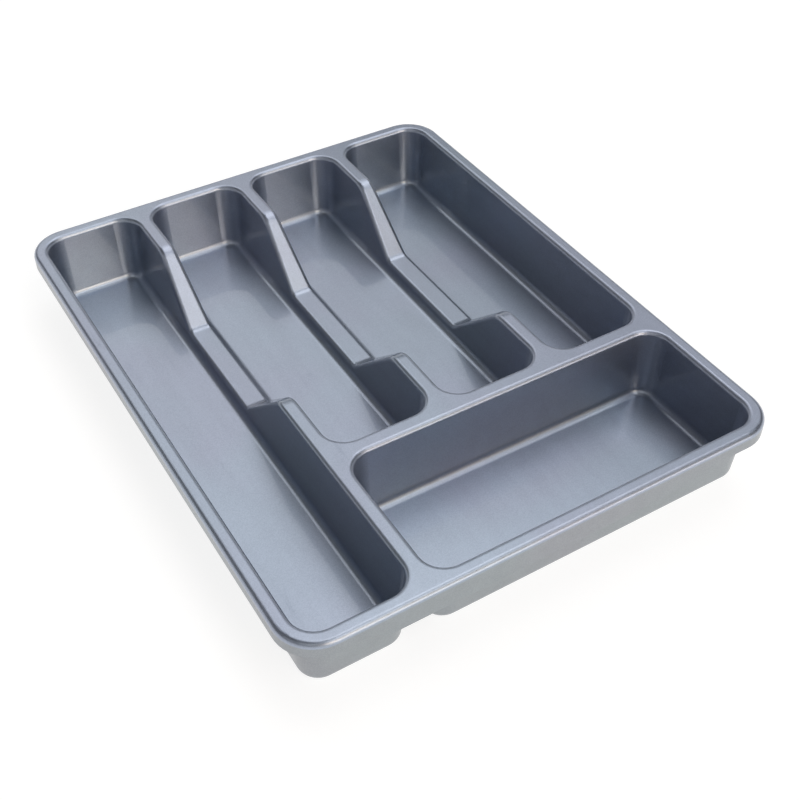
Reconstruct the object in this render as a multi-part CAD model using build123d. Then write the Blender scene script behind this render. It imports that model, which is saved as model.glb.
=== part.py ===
from build123d import *
import os
from math import cos, radians, sin, tan

# One-piece moulded cutlery tray, in millimetres.
# +Z is up, +Y is the back and +X the right, with the wide compartment at the front.
# The origin is under the middle of the tray, on the plane that its compartments rest on.

# Compartments, measured between their walls at the level of the rim
side_width = 65.7             # the long compartment at the left
column_width = 67.5           # each short compartment behind the cross wall
column_count = 3
short_length = 274.7          # the short compartments, front to back
front_length = 94.5           # the wide compartment, front to back
pocket_corner = 15.0          # plan radius of every compartment corner

# Walls and rim, measured at the level of the rim
divider_width = 10.6
cross_wall_width = 11.4
rim_width = 9.7
tray_height = 49.2
wall = 1.2                    # moulded thickness, the same everywhere
draft = 4.2                   # degrees that each wall leans for release
skirt_depth = 10.0            # turned-down edge of the rim
apron_depth = 17.0            # the deeper part of that edge, along the front
apron_width = 214.0
apron_ramp = 7.0              # width of the slope at each end of the deeper part

# Rounded edges
lip_radius = 3.0              # top edge of every wall
outer_radius = 3.2            # outer edge of the rim
floor_radius = 5.0            # floor to wall

# Finger dips in the dividers
ledge_rise = 8.0              # ledge of the dip above the compartment floor
ledge_length = 87.0
dip_slope = 42.5              # degrees from level
upper_knee = 14.0             # radius where the slope leaves the rim
lower_knee = 7.0              # radius where it meets the ledge

overrun = 5.0                 # how far every cut passes what it cuts

# Sizes that follow from the ones above
floor_depth = tray_height - wall
ledge_depth = floor_depth - ledge_rise
inner_width = side_width + column_count * (divider_width + column_width)
inner_length = short_length + cross_wall_width + front_length
tray_width = inner_width + 2 * rim_width
tray_length = inner_length + 2 * rim_width
left_wall = -inner_width / 2
right_wall = inner_width / 2
front_wall = -inner_length / 2
back_wall = inner_length / 2
first_column = left_wall + side_width + divider_width
dip_middle = back_wall - short_length / 2


def compartment_plans():
    """Left, right, front and back wall of every compartment."""
    plans = [(left_wall, left_wall + side_width, front_wall, back_wall)]
    for column in range(column_count):
        left = first_column + column * (column_width + divider_width)
        plans.append((left, left + column_width, back_wall - short_length, back_wall))
    plans.append((first_column, right_wall, front_wall, front_wall + front_length))
    return plans


def tub(plan, drop):
    """Tapered plug that fills one compartment, thicker all round by a drop."""
    left, right, front, back = plan
    outline = RectangleRounded(
        right - left + 2 * drop, back - front + 2 * drop, pocket_corner + drop
    )
    level = Plane(
        origin=((left + right) / 2, (front + back) / 2, tray_height), z_dir=(0, 0, -1)
    )
    plug = extrude(level * outline, floor_depth + drop, taper=draft)
    return fillet(plug.edges().group_by(Axis.Z)[0], floor_radius + drop)


def rim_block(inset, bottom, top):
    """Block with the outline of the rim drawn in by an inset, between two heights."""
    outline = RectangleRounded(
        tray_width - 2 * inset, tray_length - 2 * inset, pocket_corner + rim_width - inset
    )
    return Pos(0, 0, bottom) * extrude(outline, top - bottom)


def dip_reach(drop):
    """Distance from the middle of a dip to the foot, the head and the end of its slope."""
    half_turn = tan(radians(dip_slope / 2))
    foot = ledge_length / 2 + drop * half_turn
    head = foot + ledge_depth / tan(radians(dip_slope))
    return foot, head, head + (upper_knee - drop) * half_turn


def dip_side(side, drop):
    """Half of the side view of a dip, from the rim down to its ledge, lowered by a drop."""
    along, down = cos(radians(dip_slope)), sin(radians(dip_slope))
    foot, head, end = dip_reach(drop)
    lower = (lower_knee + drop) * tan(radians(dip_slope / 2))
    upper = end - head
    top = tray_height - drop
    ledge = top - ledge_depth
    slope_top = (dip_middle + side * (head - upper * along), top - upper * down)
    slope_foot = (dip_middle + side * (foot + lower * along), ledge + lower * down)
    start = (dip_middle + side * end, top)
    knee = TangentArc(start, slope_top, tangent=(-side, 0))
    turn = TangentArc(
        slope_foot, (dip_middle + side * (foot - lower), ledge), tangent=(-side * along, -down)
    )
    return [Line((start[0], tray_height + overrun), start), knee, Line(slope_top, slope_foot), turn]


def dip_cut(drop):
    """Everything above the side view of the dips, across all the dividers."""
    near = dip_side(-1, drop)
    far = dip_side(1, drop)
    ledge = Line(near[-1] @ 1, far[-1] @ 1)
    lid = Line(near[0] @ 0, far[0] @ 0)
    side_middle = left_wall + side_width / 2
    last_middle = right_wall - column_width / 2
    view = Plane(origin=(side_middle, 0, 0), x_dir=(0, 1, 0), z_dir=(1, 0, 0))
    outline = make_face(near + far + [ledge, lid])
    return extrude(view * outline, last_middle - side_middle)


def is_lip(edge, top):
    """True where a compartment wall meets the rim, a divider or a dip."""
    spot = edge.center()
    beside_dip = abs(spot.Y - dip_middle) < dip_reach(0)[-1] + lip_radius
    if beside_dip:
        span = (edge @ 1) - (edge @ 0)
        return abs(span.Y) > abs(span.X) and spot.Z > wall + floor_radius
    inside_rim = abs(spot.X) < right_wall + lip_radius and abs(spot.Y) < back_wall + lip_radius
    return inside_rim and spot.Z > top - lip_radius


def moulded_side(drop):
    """Block under the upper surface of the tray, or under that surface lowered by a drop."""
    top = tray_height - drop
    block = rim_block(drop, -overrun - drop, top)
    block = fillet(block.edges().group_by(Axis.Z)[-1], outer_radius - drop)
    for plan in compartment_plans():
        block -= tub(plan, drop)
    block -= dip_cut(drop)
    return fillet([edge for edge in block.edges() if is_lip(edge, top)], lip_radius - drop)


def apron():
    """Block that keeps the deeper part of the skirt, with a slope at each end."""
    foot = tray_height - apron_depth
    outline = Polyline(
        (-apron_width / 2 - apron_ramp, tray_height - skirt_depth),
        (-apron_width / 2, foot),
        (apron_width / 2, foot),
        (apron_width / 2 + apron_ramp, tray_height - skirt_depth),
        close=True,
    )
    front = Plane(origin=(0, front_wall, 0), x_dir=(1, 0, 0), z_dir=(0, -1, 0))
    return extrude(front * make_face(outline), rim_width + 2 * overrun)


def below_skirt():
    """Ring of space under the edge of the skirt, all round the compartments."""
    bottom = -overrun - wall
    top = tray_height - skirt_depth
    ring = rim_block(-overrun, bottom, top) - rim_block(rim_width / 2, bottom, top)
    return ring - apron()


def tray():
    """The whole moulding: upper side, less the space under it and round it."""
    return moulded_side(0) - moulded_side(wall) - below_skirt()


os.makedirs("parts", exist_ok=True)
export_step(tray(), "parts/tray_moulding.step")
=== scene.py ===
# %% [markdown]
# # Cutlery tray
# A cutlery tray is one thin moulding of grey pearl plastic: five compartments that hang from a
# shared rim. Its exact shape comes from CAD and is loaded here as it is, so everything that is
# left to make is what shapes can't give: the plastic, the light and the photographer's view.

# %% Load the moulding
from math import cos, radians, sin
import bpy
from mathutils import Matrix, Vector


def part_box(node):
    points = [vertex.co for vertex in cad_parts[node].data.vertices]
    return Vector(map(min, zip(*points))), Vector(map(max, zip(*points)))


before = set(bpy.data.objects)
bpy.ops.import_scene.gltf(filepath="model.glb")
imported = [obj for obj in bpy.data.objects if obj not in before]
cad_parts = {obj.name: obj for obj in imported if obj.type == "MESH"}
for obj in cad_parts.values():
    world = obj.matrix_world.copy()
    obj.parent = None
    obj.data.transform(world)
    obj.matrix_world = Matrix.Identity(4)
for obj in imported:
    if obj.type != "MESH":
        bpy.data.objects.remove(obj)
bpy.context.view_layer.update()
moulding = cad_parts["tray_moulding"]
scene = bpy.context.scene
low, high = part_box("tray_moulding")
print("moulding:", len(moulding.data.polygons), "faces,", [round(v, 3) for v in high - low], "m")

# %% [markdown]
# ## Camera
# The photographer stood at the front left corner and looked down on the tray. A camera needs a
# place, a point to aim at and a lens. Three rotation angles would do as well, but a place and an
# aim can be read as real distances, and they keep the picture level.

# %% Camera
camera_place = Vector((-0.2864, -0.5066, 0.5312))
camera_aim = Vector((0.0055, -0.0259, 0.0))
lens_mm = 53.62

camera = bpy.data.objects.new("camera", bpy.data.cameras.new("camera"))
camera.data.lens = lens_mm
camera.location = camera_place
camera.rotation_euler = (camera_aim - camera_place).to_track_quat("-Z", "Y").to_euler()
scene.collection.objects.link(camera)
scene.camera = camera
print("camera is", round((camera_aim - camera_place).length, 3), "m from its aim")

# %% [markdown]
# ## Helpers for node trees
# A material is a tree of nodes, and most lines that build one say the same thing: make a node,
# set or connect its inputs. `add_node` does both, because an input that is given another node's
# output is linked, and one that is given a number or a colour keeps it. `make_group` starts a
# node group, which is a tree with named sockets that several materials can share.

# %% Node helpers
def fill_inputs(tree, node, inputs):
    """Links each named input of a node to a socket, or sets it to a value."""
    for key, value in inputs.items():
        if isinstance(value, bpy.types.NodeSocket):
            tree.links.new(value, node.inputs[key])
        else:
            node.inputs[key].default_value = value


def add_node(tree, kind, inputs=None, **settings):
    """New node with its settings and its inputs."""
    node = tree.nodes.new(kind)
    for name, value in settings.items():
        setattr(node, name, value)
    fill_inputs(tree, node, inputs or {})
    return node


def make_group(name, inputs, outputs):
    """Empty node group with named sockets, the sockets of its input node and its output node."""
    group = bpy.data.node_groups.new(name, "ShaderNodeTree")
    for socket, kind in inputs.items():
        group.interface.new_socket(socket, in_out="INPUT", socket_type="NodeSocket" + kind)
    for socket, kind in outputs.items():
        group.interface.new_socket(socket, in_out="OUTPUT", socket_type="NodeSocket" + kind)
    return group, group.nodes.new("NodeGroupInput").outputs, group.nodes.new("NodeGroupOutput")


def place_group(tree, group, inputs):
    """Outputs of one use of a node group in a tree, with its own values."""
    return add_node(tree, "ShaderNodeGroup", inputs, node_tree=group).outputs


def calculate(tree, operation, first, second=0.0):
    """Result of a Math node on one or two numbers or sockets."""
    return add_node(tree, "ShaderNodeMath", {0: first, 1: second}, operation=operation).outputs[0]


def ramp(tree, value, start, end, low=0.0, high=1.0):
    """Smooth change from low to high while a value goes from start to end."""
    return add_node(
        tree, "ShaderNodeMapRange",
        {"Value": value, "From Min": start, "From Max": end, "To Min": low, "To Max": high},
        interpolation_type="SMOOTHSTEP",
    ).outputs["Result"]


def blend_colours(tree, mask, first, second):
    """First colour where the mask is 0, second colour where it is 1."""
    # A Mix node also has sockets for numbers and vectors, all called A and B, so the colour
    # ones are picked by their place in the list.
    node = add_node(tree, "ShaderNodeMix", {0: mask, 6: first, 7: second}, data_type="RGBA")
    return node.outputs[2]


print("helpers ready")

# %% [markdown]
# ## Studio light
# Metallic plastic shows what stands round it more than its own colour, so the light is the most
# important part of this picture. Area lamps would work, but their hard edges would be mirrored
# in the gloss. Here the sky is a plain dome and each lamp is a round soft spot on it, bright in
# the middle and fading out to its edge, so a mirrored lamp has no edge. The spot is a node
# group: the cosine between a direction and the lamp's own direction says how near they are.

# %% Group for a soft lamp
soft_spot, spot_in, spot_out = make_group(
    "soft_spot",
    {"Direction": "Vector", "Towards": "Vector", "Edge": "Float", "Core": "Float",
     "Strength": "Float", "Colour": "Color"},
    {"Light": "Color"},
)
nearness = add_node(
    soft_spot, "ShaderNodeVectorMath", {0: spot_in["Direction"], 1: spot_in["Towards"]},
    operation="DOT_PRODUCT",
).outputs["Value"]
spot_fade = ramp(soft_spot, nearness, spot_in["Edge"], spot_in["Core"])
spot_level = calculate(soft_spot, "MULTIPLY", spot_fade, spot_in["Strength"])
spot_light = add_node(
    soft_spot, "ShaderNodeVectorMath", {0: spot_in["Colour"], "Scale": spot_level},
    operation="SCALE",
).outputs["Vector"]
soft_spot.links.new(spot_light, spot_out.inputs["Light"])
print("soft_spot has", len(soft_spot.nodes), "nodes")

# %% [markdown]
# The world starts as a pale band just above the horizon, which goes on from the white floor as
# a studio's paper roll does. Each lamp is then added to it. Azimuth is counted from the right
# of the tray towards its back, so a lamp at 270 degrees is in front.

# %% World with a pale horizon
world = bpy.data.worlds.new("studio")
scene.world = world
world.use_nodes = True
sky = world.node_tree
background = sky.nodes["Background"]
direction = add_node(sky, "ShaderNodeTexCoord").outputs["Generated"]
height_in_sky = add_node(sky, "ShaderNodeSeparateXYZ", {0: direction}).outputs["Z"]
band_full = 8      # degrees above the horizon
band_end = 20
sky_light = ramp(sky, height_in_sky, sin(radians(band_end)), sin(radians(band_full)))
core_share = 0.25  # the part of a lamp's radius that is fully bright


def hang_lamp(light_so_far, azimuth, elevation, radius, strength, colour):
    """Adds one soft lamp to the sky. Its place and its radius are in degrees."""
    level = cos(radians(elevation))
    towards = (level * cos(radians(azimuth)), level * sin(radians(azimuth)), sin(radians(elevation)))
    light = place_group(sky, soft_spot, {
        "Direction": direction, "Towards": towards, "Strength": strength, "Colour": (*colour, 1),
        "Edge": cos(radians(radius)), "Core": cos(radians(radius * core_share)),
    })["Light"]
    return add_node(
        sky, "ShaderNodeVectorMath", {0: light_so_far, 1: light}, operation="ADD"
    ).outputs["Vector"]


print("pale band fades out", band_end, "degrees above the horizon")

# %% [markdown]
# Two wide lamps, one high at the right and one behind the tray, give every floor its even tone.
# The lamps in front light the walls that face the camera and draw the bright lines along the
# rounded edges. They are a little warmer, and a weak amber one stands for light that comes back
# from the room, which keeps those walls grey where they would be blue. The lamps at the left
# stay weak, because the walls that face left owe their dark look to the dim room there. A lamp
# that is wide and weak lights a flat face as much as a small and strong one, but leaves no hard
# line on a rounded edge.

# %% Lamps
neutral = (1.0, 1.0, 1.0)
warm = (1.26, 1.06, 0.84)
slightly_warm = (1.12, 1.03, 0.93)
amber = (1.6, 1.08, 0.45)
lamps = {
    "high right": dict(azimuth=30, elevation=67, radius=24, strength=2.45, colour=neutral),
    "right": dict(azimuth=42, elevation=36, radius=18, strength=0.5, colour=neutral),
    "behind": dict(azimuth=81, elevation=46, radius=26, strength=1.28, colour=neutral),
    "high in front": dict(azimuth=293, elevation=57, radius=19, strength=2.65, colour=neutral),
    "upper front": dict(azimuth=336, elevation=62, radius=15, strength=0.65, colour=neutral),
    "front softbox": dict(azimuth=275, elevation=27, radius=18, strength=3.65, colour=warm),
    "warm bounce": dict(azimuth=300, elevation=37, radius=15, strength=0.33, colour=amber),
    "low in front": dict(azimuth=294, elevation=6, radius=20, strength=2.1, colour=slightly_warm),
    "left": dict(azimuth=222, elevation=46, radius=20, strength=1.0, colour=neutral),
    "high left": dict(azimuth=178, elevation=39, radius=15, strength=0.75, colour=neutral),
    "back left": dict(azimuth=130, elevation=32, radius=20, strength=0.2, colour=neutral),
}
for lamp in lamps.values():
    sky_light = hang_lamp(sky_light, **lamp)
sky.links.new(sky_light, background.inputs["Color"])
background.inputs["Strength"].default_value = 1.0
scene.view_settings.view_transform = "Standard"
print("lamps:", ", ".join(lamps))

# %% [markdown]
# ## Floor
# The tray lies on white paper. Paper lit like this would come out grey, and more light would
# burn out the tray, so the floor glows a little for the rays that come from the camera or from
# a mirror image, and keeps some real paper under the glow so that the tray's shadow stays.

# %% White paper floor
floor_size = 8.0
paper_colour = (0.8, 0.8, 0.8, 1)
paper_under_glow = (0.29, 0.29, 0.29, 1)
paper_glow = 0.83
white = (1, 1, 1, 1)

bpy.ops.mesh.primitive_plane_add(size=floor_size)
floor = bpy.context.object
floor.name = "floor"
paper = bpy.data.materials.new("white_paper")
paper.use_nodes = True
paper_tree = paper.node_tree
paper_tree.nodes.clear()
rays = add_node(paper_tree, "ShaderNodeLightPath").outputs
seen_first = calculate(paper_tree, "MAXIMUM", rays["Is Camera Ray"], rays["Is Glossy Ray"])
seen = calculate(paper_tree, "MAXIMUM", seen_first, rays["Is Transmission Ray"])
plain_paper = add_node(paper_tree, "ShaderNodeBsdfDiffuse", {"Color": paper_colour}).outputs[0]
dim_paper = add_node(paper_tree, "ShaderNodeBsdfDiffuse", {"Color": paper_under_glow}).outputs[0]
glow = add_node(
    paper_tree, "ShaderNodeEmission", {"Color": white, "Strength": paper_glow}
).outputs[0]
seen_paper = add_node(paper_tree, "ShaderNodeAddShader", {0: glow, 1: dim_paper}).outputs[0]
paper_shader = add_node(
    paper_tree, "ShaderNodeMixShader", {0: seen, 1: plain_paper, 2: seen_paper}
).outputs[0]
add_node(paper_tree, "ShaderNodeOutputMaterial", {"Surface": paper_shader})
floor.data.materials.append(paper)
print("floor", floor_size, "m wide")

# %% [markdown]
# ## Pearl plastic
# The moulding is clear plastic with fine aluminium flakes in it. Flakes can't be modelled one by
# one, so the surface is built up from effects that each have their own node group: the flakes,
# the flow of the melt, the ripple of the mould, the marks of use and the unpolished side, which
# also carries painted shade. They read the place on the object in metres, so every size below is
# a real size. Each flake is a cell of a Voronoi texture, and the cell's own colour says how much it
# glints.

# %% Group for pearl flakes
pearl_flake, flake_in, flake_out = make_group(
    "pearl_flake", {"Place": "Vector", "Flake Size": "Float"}, {"Glint": "Float"}
)
flakes_per_metre = calculate(pearl_flake, "DIVIDE", 1.0, flake_in["Flake Size"])
flake_cells = add_node(
    pearl_flake, "ShaderNodeTexVoronoi", {"Vector": flake_in["Place"], "Scale": flakes_per_metre}
).outputs["Color"]
glint = add_node(pearl_flake, "ShaderNodeSeparateColor", {"Color": flake_cells}).outputs["Red"]
pearl_flake.links.new(glint, flake_out.inputs["Glint"])
print("pearl_flake gives each flake a glint from 0 to 1")

# %% [markdown]
# The melt spreads from its inlet towards the rim and carries the flakes with it. Where it slows
# down they lie less evenly, which shows as wide soft clouds and as long streaks along the
# compartments. One noise texture at two scales would look like marble, so the clouds and the
# streaks are two textures, and the streaks are stretched along the tray.

# %% Group for the flow of the melt
melt_flow, flow_in, flow_out = make_group(
    "melt_flow", {"Place": "Vector", "Cloud Size": "Float", "Streak Width": "Float"},
    {"Cloud": "Float", "Streak": "Float"},
)
streak_stretch = 0.12
cloud_warp = 0.4
streak_detail = 3.0
clouds_per_metre = calculate(melt_flow, "DIVIDE", 1.0, flow_in["Cloud Size"])
cloud = add_node(
    melt_flow, "ShaderNodeTexNoise",
    {"Vector": flow_in["Place"], "Scale": clouds_per_metre, "Distortion": cloud_warp},
).outputs["Fac"]
along_flow = add_node(
    melt_flow, "ShaderNodeVectorMath", {0: flow_in["Place"], 1: (1.0, streak_stretch, 1.0)},
    operation="MULTIPLY",
).outputs["Vector"]
streaks_per_metre = calculate(melt_flow, "DIVIDE", 1.0, flow_in["Streak Width"])
streak = add_node(
    melt_flow, "ShaderNodeTexNoise",
    {"Vector": along_flow, "Scale": streaks_per_metre, "Detail": streak_detail},
).outputs["Fac"]
melt_flow.links.new(cloud, flow_out.inputs["Cloud"])
melt_flow.links.new(streak, flow_out.inputs["Streak"])
print("streaks are", round(1 / streak_stretch, 1), "times as long as they are wide")

# %% [markdown]
# A thin wall shrinks unevenly as it cools, so even a polished floor mirrors with slightly wavy
# edges. The waves are a few hundredths of a millimetre high. That is far too little to model as
# a mesh, so the group gives a height for a Bump node.

# %% Group for the ripple of the mould
mould_ripple, ripple_in, ripple_out = make_group(
    "mould_ripple", {"Place": "Vector", "Wave Length": "Float", "Wave Height": "Float"},
    {"Height": "Float"},
)
waves_per_metre = calculate(mould_ripple, "DIVIDE", 1.0, ripple_in["Wave Length"])
wave = add_node(
    mould_ripple, "ShaderNodeTexNoise",
    {"Vector": ripple_in["Place"], "Scale": waves_per_metre, "Detail": 1.0},
).outputs["Fac"]
wave_height = calculate(mould_ripple, "MULTIPLY", wave, ripple_in["Wave Height"])
mould_ripple.links.new(wave_height, ripple_out.inputs["Height"])
print("mould_ripple gives a height in metres")

# %% [markdown]
# Knives and forks that slide in and out leave hairlines. A hairline is a place where a stretched
# noise is within a hair of its middle value, and a second, wide noise keeps them in patches, as
# they are on a tray in use. They only dull the gloss, because the plastic is coloured all through.

# %% Group for the marks of use
hairlines, line_in, line_out = make_group(
    "hairlines", {"Place": "Vector", "Spacing": "Float", "Patch Size": "Float"}, {"Mask": "Float"}
)
line_stretch = 0.07
noise_middle = 0.5
line_width = 0.012
patch_edge = 0.48
patch_middle = 0.66
along_lines = add_node(
    hairlines, "ShaderNodeVectorMath", {0: line_in["Place"], 1: (1.0, line_stretch, 1.0)},
    operation="MULTIPLY",
).outputs["Vector"]
lines_per_metre = calculate(hairlines, "DIVIDE", 1.0, line_in["Spacing"])
line_noise = add_node(
    hairlines, "ShaderNodeTexNoise", {"Vector": along_lines, "Scale": lines_per_metre, "Detail": 1.0}
).outputs["Fac"]
above_middle = calculate(hairlines, "SUBTRACT", line_noise, noise_middle)
from_middle = calculate(hairlines, "ABSOLUTE", above_middle)
on_line = ramp(hairlines, from_middle, line_width, 0.0)
patches_per_metre = calculate(hairlines, "DIVIDE", 1.0, line_in["Patch Size"])
patch_noise = add_node(
    hairlines, "ShaderNodeTexNoise", {"Vector": line_in["Place"], "Scale": patches_per_metre}
).outputs["Fac"]
in_patch = ramp(hairlines, patch_noise, patch_edge, patch_middle)
hairlines.links.new(calculate(hairlines, "MULTIPLY", on_line, in_patch), line_out.inputs["Mask"])
print("hairlines has", len(hairlines.nodes), "nodes")

# %% [markdown]
# The half of the mould that makes the underside and the outer faces is left unpolished, because
# nobody looks at them in a drawer. They are duller than the inside. Their grey is also painted a
# little darker and warmer, as painted shade for the dimmer, warmer light on those faces. The
# slope of the surface tells the two halves apart: inside walls lean back and face slightly up,
# outer faces stand upright or face down.

# %% Group that finds the unpolished side, which also gets painted shade
unpolished_side_and_painted_shade, side_in, side_out = make_group("unpolished_side_and_painted_shade", {"Normal": "Vector"}, {"Mask": "Float"})
facing_up = add_node(unpolished_side_and_painted_shade, "ShaderNodeSeparateXYZ", {0: side_in["Normal"]}).outputs["Z"]
upright = 0.01        # how far a face points up, from 0 to 1
leaning_back = 0.06
unpolished_side_and_painted_shade.links.new(ramp(unpolished_side_and_painted_shade, facing_up, leaning_back, upright), side_out.inputs["Mask"])
print("walls that face up by more than", leaning_back, "count as polished")

# %% [markdown]
# Now the plastic itself, in three steps. First the five effects are placed on the tray, each
# with its real size in metres. Another material could use the same groups with other sizes, for
# instance larger flakes for a hammered finish.

# %% Effects on the tray
flake_size = 0.0004
cloud_size = 0.11
streak_width = 0.012
hairline_spacing = 0.006
worn_patch = 0.05
ripple_length = 0.022
ripple_height = 0.00012

plastic = bpy.data.materials.new("pearl_plastic")
plastic.use_nodes = True
tree = plastic.node_tree
skin = tree.nodes["Principled BSDF"]
surface = add_node(tree, "ShaderNodeTexCoord").outputs
place = surface["Object"]
glint = place_group(tree, pearl_flake, {"Place": place, "Flake Size": flake_size})["Glint"]
flow = place_group(
    tree, melt_flow, {"Place": place, "Cloud Size": cloud_size, "Streak Width": streak_width}
)
ripple = place_group(
    tree, mould_ripple,
    {"Place": place, "Wave Length": ripple_length, "Wave Height": ripple_height},
)["Height"]
worn = place_group(
    tree, hairlines, {"Place": place, "Spacing": hairline_spacing, "Patch Size": worn_patch}
)["Mask"]
outer = place_group(tree, unpolished_side_and_painted_shade, {"Normal": surface["Normal"]})["Mask"]
print("ripples are", round(ripple_length * 1000), "mm long and clouds", round(cloud_size * 1000))

# %% [markdown]
# The colour is a cool grey that drifts towards lilac in the clouds of the flow. The flakes and
# the streaks only lighten and darken it by a few parts in a hundred, because from half a metre
# they are felt more than seen. A noise texture rarely leaves the range from 0.3 to 0.7, so its
# values are stretched from there. The outer faces are painted a little darker and warmer, as
# painted shade.

# %% Colour of the plastic
cool_grey = (0.330, 0.384, 0.471, 1)
lilac_grey = (0.345, 0.381, 0.479, 1)
# painted shade: a darker, warmer grey on the outer faces that stands in for the light there
painted_side_shade = (0.97, 0.915, 0.79, 1)
flake_contrast = 0.07
streak_contrast = 0.025
noise_low = 0.3
noise_high = 0.7
clear_edge = 0.35
cloud_edge = 0.65

clouded = ramp(tree, flow["Cloud"], clear_edge, cloud_edge)
flow_colour = blend_colours(tree, clouded, cool_grey, lilac_grey)
# painted shade on the outer faces, mixed in by the side mask
painted_shade_on_sides = blend_colours(tree, outer, white, painted_side_shade)
colour_with_painted_shade = add_node(
    tree, "ShaderNodeVectorMath", {0: flow_colour, 1: painted_shade_on_sides}, operation="MULTIPLY"
).outputs["Vector"]
flake_shade = ramp(tree, glint, 0.0, 1.0, 1 - flake_contrast, 1 + flake_contrast)
streak_shade = ramp(
    tree, flow["Streak"], noise_low, noise_high, 1 - streak_contrast, 1 + streak_contrast
)
shade = calculate(tree, "MULTIPLY", flake_shade, streak_shade)
pearl_colour = add_node(
    tree, "ShaderNodeVectorMath", {0: colour_with_painted_shade, "Scale": shade}, operation="SCALE"
).outputs["Vector"]
print("the grey is", round(cool_grey[2] / cool_grey[0], 2), "times as blue as it is red")

# %% [markdown]
# The flakes make the plastic nearly a metal with a wide, soft highlight, and the clear plastic
# over them is a thin coat with a sharp one. That pair is why the floors look satin but still
# mirror the walls faintly. Light that bounces between two walls takes the tint twice, which
# makes the inner walls the deep slate blue of the real tray.

# %% Gloss of the plastic
metal_share = 0.95
satin = 0.40
satin_drift = 0.02            # between the clear and the clouded places
unpolished_roughness = 0.06   # added on the outer faces
worn_roughness = 0.08         # added on a hairline
gloss_coat = 0.83
unpolished_coat = 0.5         # share of the coat that the outer faces keep
worn_coat = 0.55              # share of it that a hairline keeps
coat_roughness = 0.02
coat_ior = 1.55

cloud_roughness = ramp(
    tree, flow["Cloud"], noise_low, noise_high, satin - satin_drift, satin + satin_drift
)
side_roughness = ramp(tree, outer, 0.0, 1.0, 0.0, unpolished_roughness)
line_roughness = ramp(tree, worn, 0.0, 1.0, 0.0, worn_roughness)
marks = calculate(tree, "ADD", side_roughness, line_roughness)
roughness = calculate(tree, "ADD", cloud_roughness, marks)
side_coat = ramp(tree, outer, 0.0, 1.0, gloss_coat, gloss_coat * unpolished_coat)
line_coat = ramp(tree, worn, 0.0, 1.0, 1.0, worn_coat)
coat = calculate(tree, "MULTIPLY", side_coat, line_coat)
bumped = add_node(
    tree, "ShaderNodeBump", {"Height": ripple, "Strength": 1.0, "Distance": 1.0}
).outputs["Normal"]
fill_inputs(tree, skin, {
    "Base Color": pearl_colour, "Metallic": metal_share, "Roughness": roughness,
    "Coat Weight": coat, "Coat Roughness": coat_roughness, "Coat IOR": coat_ior, "Normal": bumped,
})
moulding.data.materials[0] = plastic
print("pearl_plastic on", moulding.name, "with", len(tree.nodes), "nodes")
